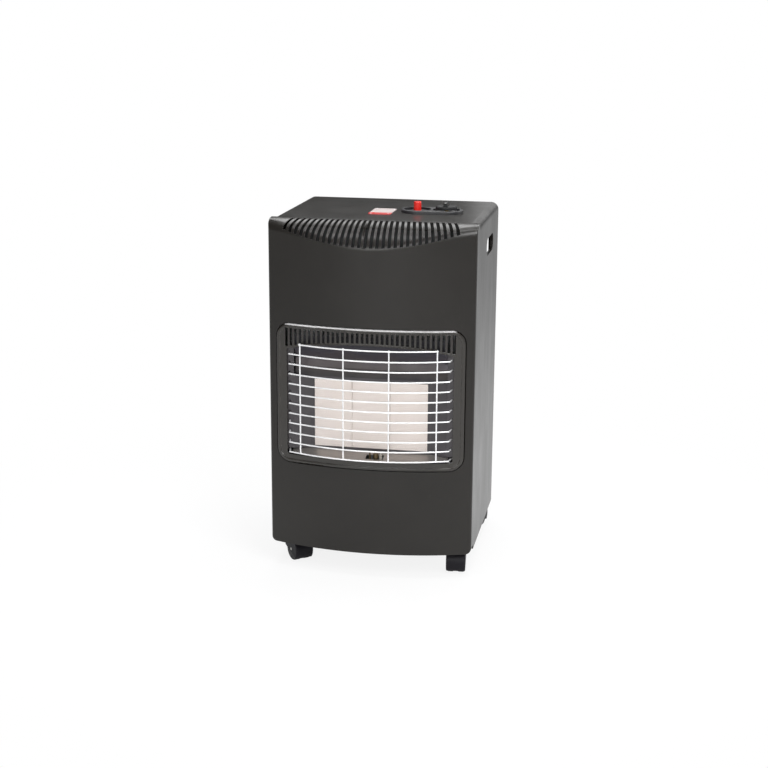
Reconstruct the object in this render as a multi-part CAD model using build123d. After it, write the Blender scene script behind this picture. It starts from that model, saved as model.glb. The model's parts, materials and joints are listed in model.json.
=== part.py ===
from build123d import *
import os
from math import asin, degrees, sqrt

# Portable gas cabinet heater on castors. Millimetres, +Z up, the front faces -Y.
# Shapes are drawn in cabinet coordinates: x from the middle, y behind the front edge
# of the folded cabinet, z above the lower edge of the cabinet. write_nodes moves them
# so that the origin lies on the floor, under the middle of the whole heater.

# Cabinet
cabinet_width = 420.0
cabinet_height = 676.0
cabinet_depth = 317.0
cabinet_corner = 16.0
sheet = 1.0
rear_flange = 20.0
front_flange = 12.0
handle_length = 110.0
handle_height = 36.0
handle_y = 175.0
handle_z = 607.0

# Front panel: a bow about an upright axis, with a rolled top
panel_sheet = 1.2
panel_edge_y = -32.0
panel_middle_y = -71.0
panel_corner = 7.0
panel_foot_corner = 12.0
top_roll = 78.0
crease_radius = 20.0
louvre_count = 30
louvre_pitch = 12.0
louvre_width = 6.2
louvre_start_y = -7.5
louvre_middle_z = 630.0
louvre_end_z = 657.5
louvre_end_x = 174.0

# Burner surround
surround_width = 384.0
surround_bottom = 179.5
surround_top = 469.0
surround_corner = 29.0
surround_gap = 1.6
surround_proud = 1.9
lip_proud = 3.4
lip_width = 7.0
surround_back_y = -22.0
surround_sheet = 1.5
opening_half = 170.0
opening_bottom = 197.0
opening_end_z = 418.0
opening_middle_z = 436.0
chamber_y = -40.0
vent_count = 35
vent_pitch = 10.0
vent_width = 5.5
vent_top = 460.0

# Wire guard
wire = 3.0
weld_bite = 0.02
guard_middle_y = -90.0
guard_end_y = -56.0
guard_end_x = 163.0
guard_tip_y = -35.0
guard_tip_x = 167.0
guard_bottom_z = 203.5
guard_pitch = 20.5
guard_rows = 11
guard_short_z = 430.0
guard_upright_x = (-139.0, -46.0, 46.0, 139.0)

# Burner
plaque_width = 78.0
plaque_gap = 0.3
plaque_lip = 0.6
plaque_bottom = 212.0
plaque_top = 354.0
plaque_y = -30.0
plaque_thick = 13.0
gasket_thick = 2.0
housing_back_y = 18.0
burner_x = (-78.0, 0.0, 78.0)
burner_names = ("left", "centre", "right")
venturi_y = 2.0
injector_z = 112.0
pilot_x = 14.0
pilot_y = -49.0
pilot_z = 187.0

# Inside sheets
shield_y = 55.0
tray_z = 10.0
tray_flange = 22.0
tray_sheet = 1.2
tray_rear_half = 188.0
tray_back_y = 370.0
bottle_y = 212.0
stand_radius = 152.0
stand_height = 1.5

# Rear cover
cover_half = 197.0
cover_bottom = 4.0
cover_top = 540.0
cover_back_y = 375.0
cover_corner = 35.0
cover_lift = 14.0
hook_x = 194.0
hook_z = (70.0, 470.0)

# Controls
control_y = 131.0
button_x = 64.0
knob_x = 124.0
escutcheon_radius = 34.0
escutcheon_height = 6.0
well_radius = 28.0
well_floor = 1.5
knob_radius = 22.0
knob_push = 5.0
spindle_radius = 4.0
button_radius = 7.9
button_height = 20.0
valve_z = 650.0
tail_radius = 4.0

# Castors: stem position, and the turn of the hood about its stem, in degrees
castor_stem_x = 173.5
castor_front_y = 22.0
castor_rear_y = 275.0
castor_names = ("front_left", "front_right", "rear_left", "rear_right")
castor_turns = (40.0, 5.0, -165.0, 167.0)
wheel_radius = 24.5
wheel_width = 14.0
castor_width = 40.0
castor_trail = 20.0
hood_radius = 26.7
hood_top = 51.0
plate_size = 40.0
plate_hole = 14.0
castor_web = 6.5
axle_radius = 3.0
stem_radius = 4.0
floor_z = -52.0

# The whole heater's middle, from the guard's front to the cover's back
middle_y = (guard_middle_y - wire / 2 + cover_back_y) / 2

bow_radius = ((cabinet_width / 2) ** 2 + (panel_edge_y - panel_middle_y) ** 2) / (
    2 * (panel_edge_y - panel_middle_y)
)
bow_centre_y = panel_middle_y + bow_radius
surround_middle_z = (surround_bottom + surround_top) / 2
surround_height = surround_top - surround_bottom
nodes = {}


# Drawing helpers


def prism_x(sketch, x_from, x_to):
    """A sketch drawn as (y, z), run along x."""
    plane = Plane(origin=(x_from, 0, 0), x_dir=(0, 1, 0), z_dir=(1, 0, 0))
    return extrude(plane * sketch, x_to - x_from, dir=plane.z_dir)


def prism_y(sketch, y_from, y_to):
    """A sketch drawn as (x, z), run along y."""
    plane = Plane(origin=(0, y_to, 0), x_dir=(1, 0, 0), z_dir=(0, -1, 0))
    return extrude(plane * sketch, y_to - y_from, dir=plane.z_dir)


def prism_z(sketch, z_from, z_to):
    """A sketch drawn as (x, y), run upwards."""
    return extrude(Plane.XY.offset(z_from) * sketch, z_to - z_from, dir=(0, 0, 1))


def block(x_range, y_range, z_range):
    size = [high - low for low, high in (x_range, y_range, z_range)]
    middle = [(high + low) / 2 for low, high in (x_range, y_range, z_range)]
    return Pos(*middle) * Box(*size)


def folded(points, thickness):
    """Section of a folded sheet. Its metal lies left of the path, or right if negative."""
    path = [Vector(*point) for point in points]
    sides = []
    for start, end in zip(path, path[1:]):
        run = (end - start).normalized()
        sides.append(Vector(-run.Y, run.X))
    back = [path[0] + sides[0] * thickness]
    for corner, before, after in zip(path[1:], sides, sides[1:]):
        back.append(corner + (before + after) * (thickness / (1 + before.dot(after))))
    back.append(path[-1] + sides[-1] * thickness)
    return make_face(Polyline(*path, *reversed(back), path[0]))


def rod(start, end, radius):
    start = Vector(*start)
    run = Vector(*end) - start
    return extrude(Plane(origin=start, z_dir=run) * Circle(radius), run.length)


def pipe(points, radius, bend):
    """A round pipe with straight runs and equal bends."""
    path = FilletPolyline(*points, radius=bend)
    return sweep(Plane(origin=path @ 0, z_dir=path % 0) * Circle(radius), path)


def spring(x, y, z_from, z_to, coil_radius, wire_radius, turns):
    height = z_to - z_from - 2 * wire_radius
    path = Helix(height / turns, height, coil_radius)
    section = Plane(origin=path @ 0, z_dir=path % 0) * Circle(wire_radius)
    return Pos(x, y, z_from + wire_radius) * sweep(section, path, is_frenet=True)


def bow_region(offset_out, back_y):
    """Plan of the bowed front, moved out by an amount and closed at back_y."""
    half = cabinet_width / 2 + offset_out
    radius = bow_radius + offset_out
    edge_y = bow_centre_y - sqrt(radius**2 - half**2)
    front = ThreePointArc((-half, edge_y), (0, bow_centre_y - radius), (half, edge_y))
    back = Polyline((half, edge_y), (half, back_y), (-half, back_y), (-half, edge_y))
    return make_face([front, *back.edges()])


# Cabinet


def cabinet_section(inset):
    """Front view of the folded sheet's outside or inside, open at the bottom."""
    width = cabinet_width - 2 * inset
    height = cabinet_height - inset
    outline = Pos(0, height / 2) * Rectangle(width, height)
    top = outline.vertices().group_by(Axis.Y)[-1]
    return fillet(top, cabinet_corner - inset)


def cabinet_wrapper():
    wrapper = prism_y(cabinet_section(0), 0, cabinet_depth)
    wrapper -= prism_y(cabinet_section(sheet), sheet, cabinet_depth - sheet)
    half = cabinet_width / 2
    front_hole = block((front_flange - half, half - front_flange), (-1, 2 * sheet), (-1, 660))
    rear_hole = block(
        (rear_flange - half, half - rear_flange),
        (cabinet_depth - 2 * sheet, cabinet_depth + 1),
        (-1, cabinet_height - rear_flange),
    )
    wrapper -= front_hole + rear_hole
    slot = SlotOverall(handle_length, handle_height)
    lip = SlotOverall(handle_length + 2 * sheet, handle_height + 2 * sheet)
    for side in (-1, 1):
        outside = side * half
        low, high = sorted((outside, outside - side * 7))
        wrapper += prism_x(Pos(handle_y, handle_z) * lip, low, high)
        low, high = sorted((outside + side, outside - side * 9))
        wrapper -= prism_x(Pos(handle_y, handle_z) * slot, low, high)
        for z in hook_z:
            wrapper -= block(
                (side * hook_x - 1.6, side * hook_x + 1.6),
                (cabinet_depth - 2 * sheet, cabinet_depth + 1),
                (z - 1, z + 10 + cover_lift),
            )
    wrapper -= Pos(knob_x, control_y, cabinet_height) * Cylinder(7, 4)
    wrapper -= Pos(button_x, control_y, cabinet_height) * Cylinder(9.3, 4)
    return wrapper


def panel_roll(inset):
    """Side view of the front panel: its top bends down over the front."""
    centre_z = cabinet_height - top_roll
    radius = top_roll - inset
    arc = CenterArc((0, centre_z), radius, 90, 90)
    rest = Polyline((-radius, centre_z), (-radius, 0), (30, 0), (30, cabinet_height - inset),
                    (0, cabinet_height - inset))
    return make_face([*arc.edges(), *rest.edges()])


def panel_face(inset):
    """Front view of the panel with its rounded lower corners."""
    width = cabinet_width - 2 * inset
    height = cabinet_height - inset
    outline = Pos(0, inset + height / 2) * Rectangle(width, height)
    low = outline.vertices().group_by(Axis.Y)[0]
    return fillet(low, panel_foot_corner - inset)


def panel_solid(inset, back_y):
    """The bowed panel's outside, or its inside at an inset, as a full solid."""
    bow = bow_region(-inset, 30)
    solid = prism_z(bow, 0, cabinet_height + 10)
    solid &= prism_x(panel_roll(inset), -cabinet_width, cabinet_width)
    crease = solid.edges().filter_by(lambda edge: edge.center().Y < panel_edge_y)
    crease = crease.filter_by(lambda edge: edge.bounding_box().size.Z > 20)
    crease = crease.filter_by(lambda edge: edge.bounding_box().size.X > cabinet_width / 2)
    solid = fillet(crease, crease_radius - inset)
    bow = fillet(bow.vertices().group_by(Axis.Y)[0], panel_corner - inset)
    solid &= prism_z(bow, 0, cabinet_height + 10)
    solid &= prism_y(panel_face(inset), -100, back_y)
    return solid


def louvre_slots():
    """Fan of slots in planes through the bow's axis, ending on an arc below the crease."""
    end_x, end_z = louvre_end_x, louvre_end_z
    low = ThreePointArc((-end_x, end_z), (0, louvre_middle_z), (end_x, end_z))
    rest = Polyline((end_x, end_z), (2 * end_x, end_z), (2 * end_x, 700), (-2 * end_x, 700),
                    (-2 * end_x, end_z), (-end_x, end_z))
    region = prism_y(make_face([*low.edges(), *rest.edges()]), -100, louvre_start_y)
    slots = []
    for index in range(louvre_count):
        x = (index - (louvre_count - 1) / 2) * louvre_pitch
        turn = degrees(asin(x / bow_radius))
        slots.append(
            Pos(0, bow_centre_y)
            * Rot(0, 0, turn)
            * Pos(0, -bow_radius + 40, cabinet_height - 40)
            * Box(louvre_width, 90, 100)
        )
    return [slot & region for slot in slots]


def front_panel():
    panel = panel_solid(0, 0) - panel_solid(panel_sheet, -panel_sheet)
    half = cabinet_width / 2 - front_flange
    panel -= block((-half, half), (-2 * panel_sheet, 1), (front_flange, 658))
    hole = Pos(0, surround_middle_z) * RectangleRounded(
        surround_width + 2 * surround_gap,
        surround_height + 2 * surround_gap,
        surround_corner + surround_gap,
    )
    wall = offset(hole, panel_sheet)
    ledge = offset(hole, -7)
    recess = prism_y(wall, -100, surround_back_y + panel_sheet) & panel_solid(0, 0)
    panel += recess
    panel -= prism_y(hole, -100, surround_back_y)
    panel -= prism_y(ledge, -100, 1)
    for slot in louvre_slots():
        panel -= slot
    return panel


# Burner surround and guard


def arch_region(grow):
    """Front view of the opening, grown by an amount."""
    half = opening_half + grow
    low = opening_bottom - grow
    end = opening_end_z + grow
    arch = ThreePointArc((-half, end), (0, opening_middle_z + grow), (half, end))
    rest = Polyline((half, end), (half, low), (-half, low), (-half, end))
    face = make_face([*arch.edges(), *rest.edges()])
    return fillet(face.vertices(), 5 + grow)


def arch_z(x):
    """Height of the opening's arch above a place x."""
    rise = opening_middle_z - opening_end_z
    radius = (opening_half**2 + rise**2) / (2 * rise)
    return opening_middle_z - radius + sqrt(radius**2 - x**2)


def surround_solid():
    """Outside of the surround: a flat bowed face inside a rounded raised lip."""
    outline = Pos(0, surround_middle_z) * RectangleRounded(
        surround_width, surround_height, surround_corner
    )
    flat = prism_z(bow_region(surround_proud, 30), 100, 520)
    raised = prism_z(bow_region(lip_proud, 30), 100, 520) & prism_y(
        outline, -100, surround_back_y
    )
    raised = fillet([edge for edge in raised.edges() if edge_on_lip(edge, 0)], lip_proud)
    raised -= prism_y(offset(outline, -lip_width), -100, surround_back_y + 1)
    raised = fillet([edge for edge in raised.edges() if edge_on_lip(edge, lip_width)], 1.2)
    return raised + (flat & prism_y(offset(outline, -lip_width / 2), -100, surround_back_y))


def edge_on_lip(edge, inset):
    """True for an edge on the lip's bowed face, at least an inset inside the outline."""
    radius = bow_radius + lip_proud
    for share in (0.1, 0.5, 0.9):
        point = edge @ share
        if abs(sqrt(point.X**2 + (point.Y - bow_centre_y) ** 2) - radius) > 0.01:
            return False
        if abs(point.X) > surround_width / 2 - inset + 0.01:
            return False
        if abs(point.Z - surround_middle_z) > surround_height / 2 - inset + 0.01:
            return False
    return True


def burner_surround():
    outside = surround_solid()
    inner = Pos(0, surround_middle_z) * RectangleRounded(
        surround_width - 2 * surround_sheet,
        surround_height - 2 * surround_sheet,
        surround_corner - surround_sheet,
    )
    inside = prism_z(bow_region(surround_proud - surround_sheet, 30), 100, 520)
    inside &= prism_y(inner, -100, surround_back_y + 1)
    surround = outside - inside
    opening = arch_region(0)
    lining = prism_y(arch_region(surround_sheet), -100, chamber_y) & outside
    lining -= block((-200, 200), (-100, 0), (100, opening_bottom + 6))
    surround += lining
    surround -= prism_y(opening, -100, 30)
    for index in range(vent_count):
        x = (index - (vent_count - 1) / 2) * vent_pitch
        surround -= block(
            (x - vent_width / 2, x + vent_width / 2), (-100, -30), (arch_z(x) + 4.5, vent_top)
        )
    return surround


def guard_bow():
    """Radius of the guard's bow and the place of its axis."""
    sagitta = guard_end_y - guard_middle_y
    radius = (guard_end_x**2 + sagitta**2) / (2 * sagitta)
    return radius, guard_middle_y + radius


def guard_wire(z, half):
    """One cross wire, from -half to half along the guard's bow."""
    radius, axis_y = guard_bow()
    turn = degrees(asin(half / radius))
    start = Plane(origin=(0, axis_y - radius, z), z_dir=(1, 0, 0)) * Circle(wire / 2)
    axis = Axis((0, axis_y, z), (0, 0, 1))
    return revolve(start.rotate(axis, -turn), axis, 2 * turn)


def guard_hook(side, z):
    """Ends of the straight run that hooks one cross wire into the side cheek."""
    return (side * guard_end_x, guard_end_y, z), (side * guard_tip_x, guard_tip_y, z)


def wire_guard():
    """The cross wires, hooked back at both ends, with a short one on top."""
    wires = []
    for row in range(guard_rows):
        z = guard_bottom_z + guard_pitch * row
        cross = guard_wire(z, guard_end_x)
        for side in (-1, 1):
            bend, tip = guard_hook(side, z)
            cross += Pos(*bend) * Sphere(wire / 2)
            cross += rod(bend, tip, wire / 2)
        wires.append(cross)
    wires.append(guard_wire(guard_short_z, 141))
    return Compound(children=wires)


def guard_uprights():
    """Upright wires welded behind the cross wires."""
    radius, axis_y = guard_bow()
    uprights = []
    for x in guard_upright_x:
        y = axis_y - sqrt((radius - wire + weld_bite) ** 2 - x**2)
        uprights.append(rod((x, y, guard_bottom_z - 2), (x, y, guard_short_z + 2), wire / 2))
    return Compound(children=uprights)


# Fire chamber


def side_cheek(side):
    """Folded sheet beside the plaques, with holes for the guard's ends."""
    inner = plaque_width * 1.5 + 5
    points = [
        (inner, -8),
        (inner, plaque_y - 1),
        (inner + 3, plaque_y - 1),
        (157, chamber_y),
        (176, chamber_y),
    ]
    section = folded([(side * x, y) for x, y in points], side * sheet)
    cheek = prism_z(section, plaque_bottom - 5, opening_end_z)
    cheek -= block(
        sorted((side * 100, side * 157)), (-60, 20), (plaque_top + 5, opening_end_z + 1)
    )
    for row in range(guard_rows):
        bend, tip = guard_hook(side, guard_bottom_z + guard_pitch * row)
        cheek -= rod(bend, tip, wire / 2 + 0.3)
    return cheek


def upper_reflector():
    """Folded hood above the plaques, up to the surround's arch."""
    low = plaque_top + 5
    points = [
        (-10, low),
        (plaque_y - 1, low),
        (plaque_y - 3, low + 20),
        (plaque_y + 1, low + 37),
        (plaque_y - 7, low + 52),
        (chamber_y, low + 60),
        (chamber_y, low + 86),
    ]
    return prism_x(folded(points, -sheet), -156, 156)


def lower_reflector():
    """Polished shelf that slopes from the plaques to the front of the opening."""
    high = plaque_bottom - 5
    points = [(-12, high - 10), (-12, high), (plaque_y - 2, high), (-80, high - 18.5)]
    shelf = prism_x(folded(points, 0.8), -160, 160)
    shelf &= prism_z(bow_region(-2, 30), 150, 250)
    shelf -= block((-6, 30), (-56, -42), (180, 215))
    return shelf


def plaque(x):
    half = plaque_width / 2 - plaque_gap
    tile = block(
        (x - half, x + half), (plaque_y, plaque_y + plaque_thick), (plaque_bottom, plaque_top)
    )
    return chamfer(tile.edges().filter_by(Axis.Z).group_by(Axis.Y)[0], 0.6)


def plaque_frame():
    """Pressed frame that clamps the plaques and the gasket on the housing."""
    half = plaque_width * 1.5
    y_front = plaque_y - 0.8
    frame = block((-half - 5, half + 5), (y_front, -12.5), (plaque_bottom - 5, plaque_top + 5))
    frame -= block(
        (-half - 4.2, half + 4.2), (plaque_y, 0), (plaque_bottom - 4.2, plaque_top + 4.2)
    )
    frame -= block(
        (plaque_lip - half, half - plaque_lip),
        (y_front - 1, 0),
        (plaque_bottom + plaque_lip, plaque_top - plaque_lip),
    )
    return frame


def plaque_gasket():
    half = plaque_width * 1.5
    y_front = plaque_y + plaque_thick
    gasket = block((-half, half), (y_front, y_front + gasket_thick), (plaque_bottom, plaque_top))
    for x in burner_x:
        gasket -= block(
            (x - plaque_width / 2 + 5, x + plaque_width / 2 - 5),
            (y_front - 1, y_front + 5),
            (plaque_bottom + 6, plaque_top - 6),
        )
    return gasket


def burner_housing():
    """Pressed box behind the plaques, in three chambers, with a rim for the gasket."""
    half = plaque_width * 1.5
    y_front = plaque_y + plaque_thick + gasket_thick
    shell = block((-half, half), (y_front, housing_back_y), (plaque_bottom, plaque_top))
    shell = fillet(shell.edges().filter_by(Axis.Y), 8)
    shell = fillet(shell.faces().sort_by(Axis.Y)[-1].edges(), 5)
    rim = block(
        (-half - 4, half + 4), (y_front, y_front + 1.2), (plaque_bottom - 4, plaque_top + 4)
    )
    housing = shell + rim
    for x in burner_x:
        chamber = block(
            (x - plaque_width / 2 + 1.2, x + plaque_width / 2 - 1.2),
            (y_front, housing_back_y - 1.2),
            (plaque_bottom + 1.2, plaque_top - 1.2),
        )
        chamber = fillet(chamber.edges().filter_by(Axis.Y), 7)
        housing -= chamber
        housing -= Pos(x, venturi_y, plaque_bottom) * Cylinder(11, 8)
    return housing


def venturi_tube(x):
    """Mixing tube: a flared mouth, a throat and a widening run into the housing."""
    outline = [(13, 130), (8, 142), (8, 158), (12, 200), (12, plaque_bottom)]
    inner = [(radius - 1.2, z) for radius, z in outline]
    wall = make_face(Polyline(*outline, *reversed(inner), outline[0]))
    tube = revolve(Plane.XZ * wall, Axis.Z)
    return Pos(x, venturi_y, 0) * tube


def injector_rail():
    """Folded strap on the heat shield that carries the three injectors."""
    low = injector_z - 1.5
    points = [(shield_y, low + 30), (shield_y, low), (venturi_y - 14, low)]
    rail = prism_x(folded(points, -1.5), -110, 110)
    for x in burner_x:
        rail -= Pos(x, venturi_y, injector_z) * Cylinder(5.1, 8)
    return rail


def injectors():
    """Three brass jets, each a hexagon seat with a fine nozzle."""
    group = []
    for x in burner_x:
        seat = prism_z(RegularPolygon(7, 6), injector_z, injector_z + 6)
        shank = prism_z(Circle(5), injector_z - 14, injector_z)
        nozzle = Pos(0, 0, injector_z + 6 + 4.5) * Cone(4, 2.2, 9)
        group.append(Pos(x, venturi_y, 0) * (seat + shank + nozzle))
    return Compound(children=group)


def supply_pipe(index):
    """Gas pipe from the valve, through the heat shield, down to one injector."""
    x = burner_x[index]
    valve_x = knob_x - 14 + 14 * index
    side_x = 150 + 9 * index
    high_z = 540 - 10 * index
    low_z = injector_z - 28 - 8 * index
    run_y = shield_y - 18 - 8 * index
    points = [
        (valve_x, control_y - 22, valve_z - 24),
        (valve_x, control_y - 44, valve_z - 24),
        (valve_x, control_y - 44, high_z),
        (valve_x, run_y, high_z),
        (side_x, run_y, high_z),
        (side_x, run_y, low_z),
        (x, run_y, low_z),
        (x, venturi_y, low_z),
        (x, venturi_y, injector_z - 14),
    ]
    return pipe(points, 3, 6)


def pilot_pipe():
    """Thin pipe from the valve's side to the back of the pilot burner."""
    points = [
        (knob_x + 22, control_y, valve_z - 24),
        (knob_x + 34, control_y, valve_z - 24),
        (knob_x + 34, control_y, 556),
        (knob_x + 34, 44, 556),
        (174, 44, 556),
        (174, 44, pilot_z + 4),
        (174, -26, pilot_z + 4),
        (pilot_x, -26, pilot_z + 4),
        (pilot_x, pilot_y + 4.2, pilot_z + 4),
    ]
    return pipe(points, 2, 6)


def pilot_bracket():
    """Small shelf under the reflector's slot, hung on the reflector's rear flange."""
    points = [(-12.8, pilot_z + 18), (-12.8, pilot_z), (-58, pilot_z)]
    bracket = prism_x(folded(points, -1.2), -8, 32)
    for x, radius in ((pilot_x, 4.2), (pilot_x - 12, 2.5), (pilot_x + 10, 3)):
        bracket -= Pos(x, pilot_y, pilot_z) * Cylinder(radius, 6)
    return bracket


def pilot_burner():
    """Pilot body through the bracket and its hooded mouth above the reflector."""
    body = prism_z(Circle(4.2), pilot_z - 2.5, pilot_z + 12)
    mouth = prism_z(Circle(5.5), pilot_z + 12, pilot_z + 21)
    mouth -= prism_z(Circle(4.5), pilot_z + 14, pilot_z + 19.8)
    mouth -= block((-3.5, 3.5), (0, 8), (pilot_z + 14, pilot_z + 19.8))
    return Pos(pilot_x, pilot_y, 0) * (body + mouth)


def thermocouple():
    sheath = prism_z(Circle(2.5), pilot_z - 2.5, pilot_z + 18)
    tip = prism_z(Circle(1.6), pilot_z + 18, pilot_z + 25)
    return Pos(pilot_x - 12, pilot_y, 0) * (sheath + tip)


def spark_electrode():
    insulator = prism_z(Circle(3), pilot_z - 2.5, pilot_z + 17)
    needle = prism_z(Circle(0.9), pilot_z + 17, pilot_z + 24)
    return Pos(pilot_x + 10, pilot_y, 0) * (insulator + needle)


# Inside sheets


def heat_shield():
    """Upright wall before the bottle, leaned forward at the top under the louvres."""
    points = [
        (shield_y, tray_z + tray_sheet),
        (shield_y, 575),
        (10, 664),
        (10, cabinet_height - sheet),
        (26, cabinet_height - sheet),
    ]
    shield = prism_x(folded(points, -sheet), -207, 207)
    shield &= prism_y(cabinet_section(sheet), 0, 100)
    shield -= block((98, 172), (shield_y - 3, shield_y + 3), (506, 566))
    return shield


def tray_outline():
    """Plan of the tray: the cabinet's floor and a rear shelf inside the cover."""
    half = cabinet_width / 2 - sheet
    depth = cabinet_depth - 2 * sheet
    floor = Pos(0, sheet + depth / 2) * Rectangle(2 * half, depth)
    shelf_depth = tray_back_y - 200
    shelf = Pos(0, 200 + shelf_depth / 2) * Rectangle(2 * tray_rear_half, shelf_depth)
    shelf = fillet(shelf.vertices().group_by(Axis.Y)[-1], cover_corner - 6)
    return floor + shelf


def base_tray():
    """Floor pan with a pressed-up stand for the bottle and an edge that is low behind it."""
    pan = prism_z(tray_outline(), tray_z, tray_z + tray_flange)
    pan -= prism_z(offset(tray_outline(), -tray_sheet), tray_z + tray_sheet, 100)
    rear_half = tray_rear_half + 1
    pan -= block((-rear_half, rear_half), (280, 400), (tray_z + 6, 100))
    middle = Pos(0, bottle_y)
    pan += middle * prism_z(Circle(stand_radius), tray_z, tray_z + tray_sheet + stand_height)
    pan -= middle * prism_z(Circle(stand_radius - tray_sheet), 0, tray_z + stand_height)
    for index in range(4):
        x, y, _ = castor_place(index).position
        for side in (-1, 1):
            pan -= Pos(x + side * plate_hole, y + side * plate_hole, tray_z) * Cylinder(2.1, 8)
    return pan


def cover_solid(inset, y_from, z_from):
    """The cover's outside, or its inside at an inset, as a full solid."""
    plan = Pos(0, cover_back_y - inset - 100) * Rectangle(2 * (cover_half - inset), 200)
    plan = fillet(plan.vertices().group_by(Axis.Y)[-1], cover_corner - inset)
    body = prism_z(plan, z_from, cover_top - inset)
    return body & block((-300, 300), (y_from, 500), (z_from, cover_top))


def back_edge(edge):
    """True for an edge that isn't on the cover's open front."""
    return edge.center().Y > cabinet_depth + 1


def rear_cover():
    """Bulged lift-off cover with vent rows and four hooks in the cabinet's flange."""
    y_front = cabinet_depth
    cover = cover_solid(0, y_front, cover_bottom)
    cover = fillet(cover.edges().group_by(Axis.Z)[-1].filter_by(back_edge), 8)
    cover -= cover_solid(sheet, y_front + sheet, cover_bottom - 1)
    rim = cover_half - 12
    cover -= block((-rim, rim), (y_front - 1, y_front + 2), (0, cover_top - 12))
    tray_gap = tray_rear_half + 2
    cover -= block((-tray_gap, tray_gap), (y_front - 1, y_front + 2), (0, tray_z + 10))
    for group_z in (90, 400):
        for row in range(7):
            z = group_z + 11 * row
            slot = Pos(0, z) * SlotOverall(170, 5)
            cover -= prism_y(slot, cover_back_y - 5, cover_back_y + 2)
    for side in (-1, 1):
        for z in hook_z:
            x_range = (side * hook_x - 1, side * hook_x + 1)
            cover += block(x_range, (y_front - 4, y_front + 1), (z, z + 8))
            cover += block(x_range, (y_front - 4, y_front - 1.6), (z - 10, z + 8))
    return cover


# Controls


def control_escutcheon():
    """Raised stadium moulding with a round well at each end."""
    middle = (button_x + knob_x) / 2
    length = knob_x - button_x + 2 * escutcheon_radius
    outline = SlotOverall(length, 2 * escutcheon_radius)
    body = extrude(outline, escutcheon_height)
    body = fillet(body.edges().group_by(Axis.Z)[-1], 2)
    body = Pos(middle, control_y, cabinet_height) * body
    for x in (button_x, knob_x):
        well = Cylinder(well_radius, escutcheon_height, align=(Align.CENTER, Align.CENTER, Align.MIN))
        body -= Pos(x, control_y, cabinet_height + well_floor) * well
    body -= Pos(knob_x, control_y, cabinet_height) * Cylinder(6, 8)
    body -= Pos(button_x, control_y, cabinet_height) * Cylinder(9.3, 8)
    return body


def control_knob():
    """Round knob with a grip bar and a boss that holds the spindle."""
    low = cabinet_height + well_floor + knob_push + 1
    outline = [(0, 0), (knob_radius, 0), (knob_radius, 4), (knob_radius - 2, 6), (0, 6)]
    disc = revolve(Plane.XZ * make_face(Polyline(*outline, outline[0])), Axis.Z)
    bar = prism_z(Rectangle(9, 2 * knob_radius - 4), 5, 14)
    bar &= prism_y(Polygon((-4.5, 5), (4.5, 5), (2.8, 14), (-2.8, 14), align=None), -30, 30)
    bar = fillet(bar.edges().group_by(Axis.Z)[-1], 1.2)
    knob = disc + bar
    knob -= prism_z(Circle(spindle_radius), -1, 9)
    return Pos(knob_x, control_y, low) * knob


def valve_spindle():
    """Spindle from the valve up into the knob, with a shoulder over the collar."""
    top = cabinet_height + well_floor + knob_push + 1 + 9
    shaft = prism_z(Circle(spindle_radius), valve_z - 20, top)
    shoulder = prism_z(Circle(5.6), valve_z + 17, valve_z + 19)
    return Pos(knob_x, control_y, 0) * (shaft + shoulder)


def spindle_collar():
    ring = Circle(8) - Circle(spindle_radius + 0.05)
    return Pos(knob_x, control_y, 0) * prism_z(ring, valve_z + 14, valve_z + 17)


def knob_spring():
    return spring(knob_x, control_y, valve_z + 1.6, valve_z + 13.9, 6, 0.6, 4)


def valve_bracket():
    """Hat-shaped bracket under the cabinet's top."""
    top = cabinet_height - sheet
    points = [(-42, top - 1.5), (-30, top - 1.5), (-30, valve_z), (30, valve_z),
              (30, top - 1.5), (42, top - 1.5)]
    hat = folded(points, 1.5)
    bracket = prism_y(hat, -22, 22)
    bracket -= Pos(0, 0, valve_z) * Cylinder(4.6, 8)
    return Pos(knob_x, control_y, 0) * bracket


def gas_valve():
    """Brass valve body with a round head, outlet bosses and an inlet boss."""
    head = prism_z(Circle(19), valve_z - 12, valve_z)
    body = prism_z(RectangleRounded(44, 40, 5), valve_z - 38, valve_z - 12)
    outlets = None
    for index in range(3):
        x = -14 + 14 * index
        boss = rod((x, -20, valve_z - 24), (x, -22, valve_z - 24), 5)
        outlets = boss if outlets is None else outlets + boss
    inlet = rod((0, 20, valve_z - 25), (0, 28, valve_z - 25), 8)
    valve = head + body + outlets + inlet
    valve -= prism_z(Circle(spindle_radius + 0.05), valve_z - 25.5, valve_z + 1)
    return Pos(knob_x, control_y, 0) * valve


def hose_nut():
    hexagon = Pos(knob_x, valve_z - 25) * RegularPolygon(11, 6)
    return prism_y(hexagon, control_y + 28, control_y + 38)


def hose_tail():
    """Tail that the gas hose is pushed on: a plain root, then a run of barbs."""
    outline = [(0, 0), (tail_radius, 0)]
    for barb in range(3):
        outline += [(tail_radius, 12 + 5 * barb), (tail_radius - 0.6, 17 + 5 * barb)]
    outline += [(3, 28), (0, 28)]
    turned = revolve(Plane.XZ * make_face(Polyline(*outline, outline[0])), Axis.Z)
    return Pos(knob_x, control_y + 38, valve_z - 25) * Rot(-90, 0, 0) * turned


def igniter_body():
    """Piezo barrel with a flange in the well and a spade terminal below."""
    flange_z = cabinet_height + well_floor
    barrel = prism_z(Circle(9), flange_z - 58, flange_z)
    flange = prism_z(Circle(12), flange_z, flange_z + 2)
    spade = block((-3, 3), (-0.5, 0.5), (flange_z - 68, flange_z - 58))
    body = barrel + flange + spade
    body -= prism_z(Circle(button_radius + 0.3), flange_z - 48, flange_z + 3)
    return Pos(button_x, control_y, 0) * body


def igniter_nut():
    top = cabinet_height - sheet
    nut = prism_z(RegularPolygon(14, 6) - Circle(9), top - 5, top)
    return Pos(button_x, control_y, 0) * nut


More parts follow.
